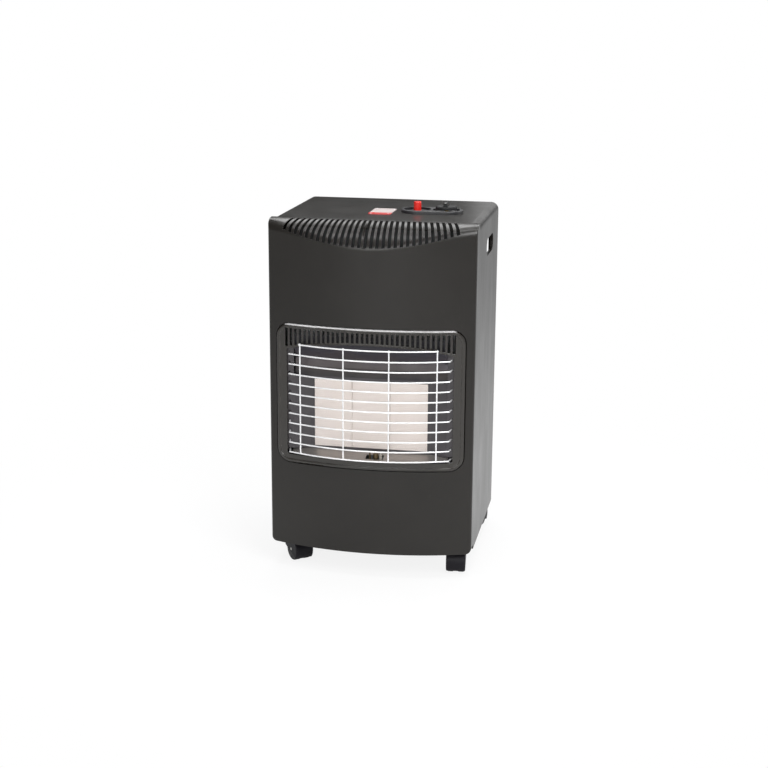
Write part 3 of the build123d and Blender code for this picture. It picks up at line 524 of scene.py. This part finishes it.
mouldings = {
    "controlBlack": {
        "color": (0.016, 0.016, 0.018), "colorLight": (0.024, 0.024, 0.026),
        "rubColor": (0.08, 0.08, 0.085), "dustColor": (0.20, 0.19, 0.18),
        "roughness": 0.42, "specular": 0.5, "grainSize": 0.0007, "grainDepth": 0.25,
        "edgeRadius": 0.0005, "edgeRub": 0.35, "dust": 0.10, "handling": 0.8,
    },
    "knobMoulding": {
        "color": (0.010, 0.010, 0.011), "colorLight": (0.015, 0.015, 0.016),
        "rubColor": (0.05, 0.05, 0.055), "dustColor": (0.12, 0.115, 0.11),
        "roughness": 0.48, "specular": 0.25, "grainSize": 0.0007, "grainDepth": 0.2,
        "edgeRadius": 0.0005, "edgeRub": 0.3, "dust": 0.06, "handling": 0.8,
    },
    "buttonRed": {
        "color": (0.62, 0.018, 0.012), "colorLight": (0.74, 0.026, 0.018),
        "rubColor": (0.85, 0.16, 0.12), "dustColor": (0.5, 0.3, 0.28),
        "roughness": 0.22, "specular": 0.5, "grainSize": 0.0014, "grainDepth": 0.04,
        "edgeRadius": 0.0004, "edgeRub": 0.3, "dust": 0.05, "handling": 0.6,
    },
    "sootedGlaze": {
        "color": (0.34, 0.31, 0.27), "colorLight": (0.46, 0.43, 0.38),
        "rubColor": (0.6, 0.56, 0.5), "dustColor": (0.2, 0.18, 0.16),
        "roughness": 0.35, "specular": 0.5, "grainSize": 0.0010, "grainDepth": 0.08,
        "edgeRadius": 0.0002, "edgeRub": 0.3, "dust": 0.3, "handling": 0.6,
    },
    "labelWhite": {
        "color": (0.44, 0.385, 0.37), "colorLight": (0.52, 0.455, 0.44),
        "rubColor": (0.5, 0.5, 0.48), "dustColor": (0.45, 0.43, 0.40),
        "roughness": 0.5, "specular": 0.3, "grainSize": 0.0012, "grainDepth": 0.05,
        "edgeRadius": 0.0003, "edgeRub": 0.4, "dust": 0.12, "handling": 0.8,
    },
    "labelRed": {
        "color": (0.50, 0.030, 0.028), "colorLight": (0.60, 0.045, 0.040),
        "rubColor": (0.7, 0.4, 0.38), "dustColor": (0.5, 0.35, 0.33),
        "roughness": 0.34, "specular": 0.5, "grainSize": 0.0012, "grainDepth": 0.05,
        "edgeRadius": 0.0003, "edgeRub": 0.4, "dust": 0.10, "handling": 0.8,
    },
    "markGrey": {
        "color": (0.46, 0.46, 0.46), "colorLight": (0.56, 0.56, 0.56),
        "rubColor": (0.2, 0.2, 0.2), "dustColor": (0.4, 0.39, 0.37),
        "roughness": 0.5, "specular": 0.4, "grainSize": 0.0006, "grainDepth": 0.1,
        "edgeRadius": 0.0001, "edgeRub": 0.3, "dust": 0.15, "handling": 0.8,
    },
    "glazedWhite": {
        "color": (0.80, 0.78, 0.73), "colorLight": (0.86, 0.84, 0.79),
        "rubColor": (0.7, 0.66, 0.58), "dustColor": (0.3, 0.27, 0.24),
        "roughness": 0.20, "specular": 0.5, "grainSize": 0.0010, "grainDepth": 0.05,
        "edgeRadius": 0.0002, "edgeRub": 0.3, "dust": 0.25, "handling": 0.6,
    },
    "gasketFibre": {
        "color": (0.66, 0.63, 0.57), "colorLight": (0.78, 0.75, 0.69),
        "rubColor": (0.8, 0.78, 0.72), "dustColor": (0.4, 0.37, 0.33),
        "roughness": 0.95, "specular": 0.2, "grainSize": 0.0005, "grainDepth": 0.9,
        "edgeRadius": 0.0003, "edgeRub": 0.2, "dust": 0.1, "handling": 0.3,
    },
    "castorNylon": {
        "color": (0.006, 0.0052, 0.007), "colorLight": (0.010, 0.009, 0.012),
        "rubColor": (0.06, 0.06, 0.07), "dustColor": (0.12, 0.11, 0.105),
        "roughness": 0.42, "specular": 0.16, "grainSize": 0.0009, "grainDepth": 0.12,
        "edgeRadius": 0.0006, "edgeRub": 0.4, "dust": 0.22, "handling": 1.0,
    },
    "wheelNylon": {
        "color": (0.014, 0.014, 0.015), "colorLight": (0.022, 0.022, 0.023),
        "rubColor": (0.09, 0.088, 0.085), "dustColor": (0.17, 0.16, 0.15),
        "roughness": 0.5, "specular": 0.45, "grainSize": 0.0012, "grainDepth": 0.25,
        "edgeRadius": 0.0006, "edgeRub": 0.7, "dust": 0.2, "handling": 1.2,
    },
}
# the plaques' tiles; the colour laid in the holes and the net's grooves is painted shade
tile = {
    "color": (0.80, 0.73, 0.69), "colorLight": (0.86, 0.79, 0.755), "holeShadeColor": (0.34, 0.27, 0.22),
    "stainColor": (0.66, 0.56, 0.48),
    "rowStep": 1.732,  # height of a row of holes, in pitches
    "holePitch": 0.0023, "holeSize": 0.27, "holeBlur": 0.05, "holeShare": 0.65,
    "netPitch": 0.0046, "netEdge": (0.36, 0.52), "netShare": 0.30, "netDepth": 0.3,
    "grainSize": 0.0012, "grainDepth": 0.12, "grainLevels": (0.3, 0.7),
    "roughness": (0.82, 0.95), "specular": 0.3,
    "stainSize": 0.06, "stains": (0.45, 0.75), "stainShare": 0.22,
    "skin": {"edgeRadius": 0.0004, "samples": 4, "depth": 0.5, "distance": 0.0006},
}


def staggeredHoles(tree, across, up, pitch, rowStep):
    # distance from the middle of the nearest hole, in pitches, on two grids half a step apart
    grids = []
    for shift in (0.0, 0.5):
        squares = []
        for along, step in ((across, 1), (up, rowStep)):
            turns = sums(tree, "ADD", sums(tree, "DIVIDE", along, pitch * step), shift)
            fromMiddle = sums(tree, "SUBTRACT", sums(tree, "FRACT", turns), 0.5)
            if step != 1:
                fromMiddle = times(tree, fromMiddle, step)
            squares.append(times(tree, fromMiddle, fromMiddle))
        grids.append(sums(tree, "SQRT", sums(tree, "ADD", *squares)))
    return sums(tree, "MINIMUM", *grids)


def perforatedTile(name, look):
    # fine holes in a staggered grid, inside a wider net of pressed diamonds; the holes and the
    # net's grooves are painted darker, as painted shade in them
    finish, tree, shader, vector = newFinish(name)
    spot = split(tree, vector)
    away = staggeredHoles(tree, spot["X"], spot["Z"], look["holePitch"], look["rowStep"])
    hole = spread(tree, away, look["holeSize"] + look["holeBlur"],
                  look["holeSize"] - look["holeBlur"])
    away = staggeredHoles(tree, spot["X"], spot["Z"], look["netPitch"], look["rowStep"])
    net = spread(tree, away, *look["netEdge"])
    grain = blotches(tree, vector, look["grainSize"])
    stain = spread(tree, blotches(tree, vector, look["stainSize"], detail=5.0), *look["stains"])
    color = blendColors(tree, grain, look["color"], look["colorLight"])
    # the stains are the tile's own; the holes and the net's grooves get painted shade
    for mask, share, darker in ((stain, "stainShare", "stainColor"), (net, "netShare", "holeShadeColor"),
                                (hole, "holeShare", "holeShadeColor")):
        color = blendColors(tree, times(tree, mask, look[share]), color, look[darker])
    depth = sums(tree, "SUBTRACT", times(tree, grain, look["grainDepth"]), hole)
    depth = sums(tree, "SUBTRACT", depth, times(tree, net, look["netDepth"]))
    rough = spread(tree, grain, *look["grainLevels"], *look["roughness"])
    finishShader(tree, shader, color, rough, depth, look["skin"])
    shader.inputs["Specular IOR Level"].default_value = look["specular"]
    return finish


def reopenFinish(finish):
    tree = finish.node_tree
    return tree, tree.nodes["Texture Coordinate"].outputs["Object"]


def layColor(tree, mask, color):
    # lays a colour over what a finish already has, where the mask is
    base = tree.nodes["Principled BSDF"].inputs["Base Color"]
    tree.links.new(blendColors(tree, mask, base.links[0].from_socket, color), base)


lipHighlight = {  # painted highlight along the top of the surround's lip; heights in millimetres
    "topZ": 469.0, "height": 2.9, "fade": 0.7, "color": (0.52, 0.51, 0.51), "share": 0.9,
    "patchSize": 0.03, "patches": (0.2, 0.5), "thinnest": 0.7,
}


def addLipHighlight(finish):
    # painted highlight: a light band along the top of the surround's lip, broken up by noise
    tree, vector = reopenFinish(finish)
    low = place(0, 0, lipHighlight["topZ"] - lipHighlight["height"]).z
    rim = spread(tree, split(tree, vector)["Z"], low, low + mm(lipHighlight["fade"]))
    uneven = blotches(tree, vector, lipHighlight["patchSize"])
    patches = spread(tree, uneven, *lipHighlight["patches"], lipHighlight["thinnest"], 1.0)
    layColor(tree, times(tree, rim, patches, lipHighlight["share"]), lipHighlight["color"])


pointer = {  # millimetres
    "middle": (124.0, 131.0), "halfWidth": 0.6, "blur": 0.1, "reach": (9.0, 19.0), "lowZ": 696.0,
    "color": (0.85, 0.85, 0.83),
}


def addPointer(finish):
    # a white line let into the front half of the knob's grip bar
    tree, vector = reopenFinish(finish)
    spot = split(tree, vector)
    middle = place(*pointer["middle"], pointer["lowZ"])
    half, blur = mm(pointer["halfWidth"]), mm(pointer["blur"])
    near, far = (mm(value) for value in pointer["reach"])
    side = sums(tree, "ABSOLUTE", sums(tree, "SUBTRACT", spot["X"], middle.x))
    ahead = sums(tree, "SUBTRACT", middle.y, spot["Y"])
    line = times(tree, spread(tree, side, half + blur, half - blur),
                 sums(tree, "GREATER_THAN", ahead, near), sums(tree, "LESS_THAN", ahead, far),
                 sums(tree, "GREATER_THAN", spot["Z"], middle.z))
    layColor(tree, line, pointer["color"])


def makeFinishes():
    finishes = {name: coatedPart(name, look, coats["paint"]) for name, look in paints.items()}
    finishes.update({name: grainedMetal(name, look) for name, look in metals.items()})
    finishes.update({name: coatedPart(name, look, coats["moulding"])
                     for name, look in mouldings.items()})
    finishes["perforatedTile"] = perforatedTile("perforatedTile", tile)
    # paints a highlight along the top of the surround's lip
    addLipHighlight(finishes["surroundPaint"])
    addPointer(finishes["knobMoulding"])
    return finishes


finishOfSlot = {
    "cabinet_paint": "cabinetPaint", "surround_paint": "surroundPaint",
    "guard_chrome": "guardChrome", "reflector_bright": "polishedShelf",
    "reflector_dark": "hoodPaint", "sheet_zinc": "zincSheet", "burner_steel": "burnerSteel",
    "plaque_ceramic": "perforatedTile", "gasket_fibre": "gasketFibre", "brass": "turnedBrass",
    "pipe_aluminium": "drawnAluminium", "spring_steel": "springWire", "zinc_steel": "zincPlate",
    "control_black": "controlBlack", "button_red": "buttonRed", "insulator_white": "glazedWhite",
    "castor_black": "castorNylon", "wheel_black": "wheelNylon",
}
finishOfNode = {  # nodes that look different from the rest of their slot
    "upper_reflector": "hoodSteel", "control_knob": "knobMoulding",
    "pilot_burner": "sootedBrass", "thermocouple": "sootedBrass",
    "spark_electrode": "sootedGlaze",
}


def dressCad(finishes):
    slotOfNode = {row["node"]: row["material_slot"] for row in frame["record"]["subparts"]}
    for name, part in cadNodes.items():
        finish = finishes[finishOfNode.get(name, finishOfSlot[slotOfNode[name]])]
        part.data.materials.clear()
        part.data.materials.append(finish)


def setWorld():
    # plain white where the camera sees past the heater, softer light for everything else
    world = bpy.data.worlds.new("studioWorld")
    world.use_nodes = True
    tree = world.node_tree
    seen = put(tree, "ShaderNodeLightPath").outputs["Is Camera Ray"]
    way = put(tree, "ShaderNodeTexCoord").outputs["Generated"]
    aim = Vector(studio["fillAim"]).normalized()
    facing = put(tree, "ShaderNodeVectorMath", {0: way, 1: aim}, operation="DOT_PRODUCT")
    level = spread(tree, facing.outputs["Value"], -1.0, 1.0, *studio["fillLevels"])
    fill = tree.nodes["Background"]
    feed(tree, fill.inputs["Color"], studio["fillColor"])
    feed(tree, fill.inputs["Strength"], level)
    white = put(tree, "ShaderNodeBackground", {"Color": (1, 1, 1), "Strength": 1.0})
    both = put(tree, "ShaderNodeMixShader", {0: seen, 1: fill.outputs[0], 2: white.outputs[0]})
    tree.links.new(both.outputs[0], tree.nodes["World Output"].inputs["Surface"])
    bpy.context.scene.world = world


def setFloor():
    # pale paper with the heater's shadow, seen as plain white farther out
    mesh = bpy.data.meshes.new("studioFloor")
    sheet = bmesh.new()
    bmesh.ops.create_grid(sheet, x_segments=1, y_segments=1, size=studio["floorSize"] / 2)
    sheet.to_mesh(mesh)
    sheet.free()
    floor = bpy.data.objects.new("studioFloor", mesh)
    bpy.context.scene.collection.objects.link(floor)
    finish, tree, shader, vector = newFinish("floorPaper")
    feed(tree, shader.inputs["Base Color"], studio["floorColor"])
    shader.inputs["Roughness"].default_value = 1.0
    shader.inputs["Specular IOR Level"].default_value = 0.0
    path = put(tree, "ShaderNodeLightPath").outputs
    mirrored = sums(tree, "ADD", path["Is Glossy Ray"], path["Is Transmission Ray"])
    seen = sums(tree, "ADD", path["Is Camera Ray"],
                times(tree, mirrored, studio["mirroredWhite"]), clamp=True)
    reach = put(tree, "ShaderNodeVectorMath", {0: vector}, operation="LENGTH").outputs["Value"]
    far = spread(tree, reach, *studio["shadowReach"], studio["shadowFade"], 1.0, smooth=True)
    white = put(tree, "ShaderNodeEmission", {"Color": (1, 1, 1), "Strength": 1.0})
    both = put(tree, "ShaderNodeMixShader", {
        0: times(tree, seen, far), 1: shader.outputs[0], 2: white.outputs[0]})
    tree.links.new(both.outputs[0], tree.nodes["Material Output"].inputs["Surface"])
    mesh.materials.append(finish)


def addPiece(name, form, wanted, smooth=False):
    # turns a finished form into an object that rides on the cabinet
    bmesh.ops.remove_doubles(form, verts=form.verts[:], dist=1e-6)
    bmesh.ops.recalc_face_normals(form, faces=form.faces[:])
    for face in form.faces:
        face.smooth = smooth
    mesh = bpy.data.meshes.new(name)
    form.to_mesh(mesh)
    form.free()
    for finish in wanted:
        mesh.materials.append(finish)
    piece = bpy.data.objects.new(name, mesh)
    bpy.context.scene.collection.objects.link(piece)
    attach(piece, "cabinet")
    print("made", name)
    return piece


def addForm(form, extra, turn):
    # adds a copy of one small form, moved by a matrix, to another
    mesh = bpy.data.meshes.new("spare")
    extra.to_mesh(mesh)
    mesh.transform(turn)
    form.from_mesh(mesh)
    bpy.data.meshes.remove(mesh)


def only(kind, items):
    # the points or the faces among what an operator gives back
    return [item for item in items if isinstance(item, kind)]


label = {  # millimetres
    "middle": (-6.0, 115.0), "sheetZ": 676.0, "size": (46.0, 80.0), "thick": 1.2, "redDepth": 21.0,
    "corner": 4.0, "cornerSegments": 6, "chamfer": 0.3, "chamferRise": 0.2,
    "frame": 1.6, "slope": 0.3, "sunk": 0.4,
    "rivet": 1.5, "rivetRise": 0.5, "rivetInset": 5.0, "rivetSunk": 0.2,
}


def makeLabel(finishes):
    # blank two-colour plate with a raised frame and a rivet at each corner
    width, depth = (mm(value) for value in label["size"])
    form = bmesh.new()
    bmesh.ops.create_grid(form, x_segments=1, y_segments=1, size=0.5)
    bmesh.ops.scale(form, vec=(width, depth, 1), verts=form.verts)
    bmesh.ops.bevel(form, geom=form.verts[:], offset=mm(label["corner"]),
                    segments=label["cornerSegments"], profile=0.5, affect="VERTICES", material=-1)
    raised = bmesh.ops.extrude_face_region(form, geom=form.faces[:])["geom"]
    bmesh.ops.translate(form, vec=(0, 0, mm(label["thick"])),
                        verts=only(bmesh.types.BMVert, raised))
    face = only(bmesh.types.BMFace, raised)
    for ring, rise in (("chamfer", label["chamferRise"]), ("frame", 0), ("slope", -label["sunk"])):
        bmesh.ops.inset_region(form, faces=face, thickness=mm(label[ring]), depth=mm(rise))
    cut = -depth / 2 + mm(label["redDepth"])
    bmesh.ops.bisect_plane(form, geom=form.verts[:] + form.edges[:] + form.faces[:],
                           plane_co=(0, cut, 0), plane_no=(0, 1, 0))
    for part in form.faces:
        part.material_index = 1 if part.calc_center_median().y < cut else 0
    rivet = bmesh.new()
    bmesh.ops.create_uvsphere(rivet, u_segments=16, v_segments=8, radius=mm(label["rivet"]))
    bmesh.ops.scale(rivet, vec=(1, 1, label["rivetRise"]), verts=rivet.verts)
    for part in rivet.faces:
        part.material_index = 2
    inset = mm(label["rivetInset"])
    height = mm(label["thick"] - label["rivetSunk"])
    for sideX in (-1, 1):
        for sideY in (-1, 1):
            spot = (sideX * (width / 2 - inset), sideY * (depth / 2 - inset), height)
            addForm(form, rivet, Matrix.Translation(spot))
    rivet.free()
    bmesh.ops.translate(form, vec=place(*label["middle"], label["sheetZ"]), verts=form.verts)
    addPiece("label_plate", form, [finishes[name] for name in (
        "labelWhite", "labelRed", "drawnAluminium")])


dial = {  # millimetres and degrees
    "middle": (124.0, 131.0), "floorZ": 677.5, "radius": 25.2, "width": 0.5, "thick": 0.15,
    "span": 210.0, "steps": 48, "tick": 2.2, "tickOut": 0.2,
    "numberSize": 4.6, "numberReach": 29.8, "numberZ": 682.0,
    "stops": {"0": 0.0, "1": 110.0, "2": 160.0, "3": 210.0},  # from the off position
}


def makeDial(finishes):
    # scale on the floor of the knob's well: an arc, and a tick at each stop
    radius, width, thick = (mm(dial[key]) for key in ("radius", "width", "thick"))
    form = bmesh.new()
    corners = [form.verts.new((0, -radius - width / 2 + shift, rise))
               for shift, rise in ((0, 0), (width, 0), (width, thick), (0, thick))]
    section = form.faces.new(corners)
    bmesh.ops.spin(form, geom=[section, *section.edges, *section.verts], cent=(0, 0, 0),
                   axis=(0, 0, 1), angle=radians(dial["span"]), steps=dial["steps"],
                   use_merge=False)
    tick = bmesh.new()
    bmesh.ops.create_cube(tick, size=1)
    bmesh.ops.scale(tick, vec=(width, mm(dial["tick"]), thick), verts=tick.verts)
    outwards = Matrix.Translation((0, -radius - mm(dial["tickOut"]), thick / 2))
    for turn in dial["stops"].values():
        addForm(form, tick, Matrix.Rotation(radians(turn), 4, "Z") @ outwards)
    tick.free()
    bmesh.ops.translate(form, vec=place(*dial["middle"], dial["floorZ"]), verts=form.verts)
    addPiece("dial_scale", form, [finishes["markGrey"]])


def makeDialNumbers(finishes):
    # plain numbers on the moulding's face, round the rim of the well
    reach = mm(dial["numberReach"])
    form = bmesh.new()
    for number, turn in dial["stops"].items():
        writing = bpy.data.curves.new("number", "FONT")
        writing.body = number
        writing.size = mm(dial["numberSize"])
        writing.extrude = mm(dial["thick"]) / 2
        writing.align_x = "CENTER"
        writing.align_y = "CENTER"
        holder = bpy.data.objects.new("number", writing)
        mesh = bpy.data.meshes.new_from_object(holder)
        angle = radians(turn - 90)
        mesh.transform(Matrix.Translation((reach * cos(angle), reach * sin(angle), 0)))
        form.from_mesh(mesh)
        bpy.data.objects.remove(holder)
        bpy.data.curves.remove(writing)
        bpy.data.meshes.remove(mesh)
    bmesh.ops.translate(form, vec=place(*dial["middle"], dial["numberZ"]), verts=form.verts)
    addPiece("dial_numbers", form, [finishes["markGrey"]])


guard = {  # millimetres
    "middleY": -90.0, "endY": -56.0, "endX": 163.0,
    "bottomZ": 203.5, "pitch": 20.5, "rows": 11, "shortZ": 430.0,
    "uprights": (-139.0, -46.0, 46.0, 139.0),
    "bead": (2.3, 1.7, 1.6), "beadSetBack": 1.35,  # behind the middle of a cross wire
}


def makeWelds(finishes):
    # small flattened beads where the uprights are welded behind the cross wires
    bow = guard["endY"] - guard["middleY"]
    radius = (guard["endX"] ** 2 + bow ** 2) / (2 * bow)
    axisY = guard["middleY"] + radius
    rows = [guard["bottomZ"] + guard["pitch"] * row for row in range(guard["rows"])]
    bead = bmesh.new()
    bmesh.ops.create_icosphere(bead, subdivisions=2, radius=mm(1))
    bmesh.ops.scale(bead, vec=guard["bead"], verts=bead.verts)
    form = bmesh.new()
    for z in (*rows, guard["shortZ"]):
        for x in guard["uprights"]:
            y = axisY - sqrt(radius ** 2 - x ** 2) + guard["beadSetBack"]
            turn = Matrix.Rotation(asin(x / radius), 4, "Z")
            addForm(form, bead, Matrix.Translation(place(x, y, z)) @ turn)
    bead.free()
    addPiece("guard_welds", form, [finishes["guardChrome"]], smooth=True)


springs = {"knob_spring": "knob_press", "button_spring": "igniter_press"}  # and what shortens them


def makeSprings(finishes):
    # copies of the two springs, which in the heater shorten as the knob or the button goes down;
    # the copies keep the frame's shape, and the frame's springs are hidden
    for node, joint in springs.items():
        form = bmesh.new()
        form.from_mesh(cadNodes[node].data)
        piece = addPiece("moving_" + node, form, [finishes["springWire"]], smooth=True)
        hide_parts(node)
        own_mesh(piece)


caseScrew = {  # millimetres
    "headRadius": 3.9, "headHeight": 2.3, "segments": 24,
    # share of the radius and of the height, from the foot of the dome to its top
    "dome": ((1.0, 0.0), (1.0, 0.35), (0.93, 0.62), (0.78, 0.85), (0.62, 0.97)),
    "crossReach": 2.0, "crossHalf": 0.45, "crossDepth": 1.2,
    "places": [(side * 203.5, z) for side in (-1, 1) for z in (60.0, 290.0, 520.0, 640.0)],
    "faceY": 317.0, "turnStep": 37.0,  # degrees from one screw's cross to the next one's
}


def screwHead():
    # domed head, its cross recess pressed in, standing on z = 0
    high, wide, reach, half, sunk = (mm(caseScrew[key]) for key in (
        "headHeight", "headRadius", "crossReach", "crossHalf", "crossDepth"))
    form = bmesh.new()
    rings = []
    for across, up in caseScrew["dome"]:
        ring = bmesh.ops.create_circle(form, segments=caseScrew["segments"],
                                       radius=across * wide)["verts"]
        bmesh.ops.translate(form, vec=(0, 0, up * high), verts=ring)
        rings.append(ring)
    cross = []
    for quarter in range(4):
        turn = Matrix.Rotation(quarter * pi / 2, 3, "Z")
        for x, y in ((reach, -half), (reach, half), (half, half)):
            cross.append(form.verts.new(turn @ Vector((x, y, high))))
    for first, second in zip(cross, cross[1:] + cross[:1]):
        form.edges.new((first, second))
    rings.append(cross)
    for rim in zip(rings, rings[1:]):
        loops = [edge for edge in form.edges
                 if any(all(vert in ring for vert in edge.verts) for ring in rim)]
        bmesh.ops.bridge_loops(form, edges=loops)
    floor = form.faces.new(cross)
    pressed = bmesh.ops.extrude_face_region(form, geom=[floor])["geom"]
    bmesh.ops.translate(form, vec=(0, 0, -sunk), verts=only(bmesh.types.BMVert, pressed))
    bmesh.ops.delete(form, geom=[floor], context="FACES_ONLY")
    return form


def makeCaseScrews(finishes):
    # domed sheet screws on the cabinet's rear flanges, each left at its own angle
    head = screwHead()
    form = bmesh.new()
    backwards = Matrix.Rotation(-pi / 2, 4, "X")
    for index, (x, z) in enumerate(caseScrew["places"]):
        turn = Matrix.Rotation(radians(caseScrew["turnStep"] * index), 4, "Z")
        spot = Matrix.Translation(place(x, caseScrew["faceY"], z))
        addForm(form, head, spot @ (backwards @ turn))
    head.free()
    addPiece("case_screws", form, [finishes["zincPlate"]])


setCamera()
setLamps()
setWorld()
setFloor()
print("camera, lamps and floor placed")
finishes = makeFinishes()
dressCad(finishes)
print("finishes made:", len(finishes))
for makePieces in (makeLabel, makeDial, makeDialNumbers, makeWelds, makeSprings, makeCaseScrews):
    makePieces(finishes)

bpy.context.scene.view_settings.view_transform = "Standard"
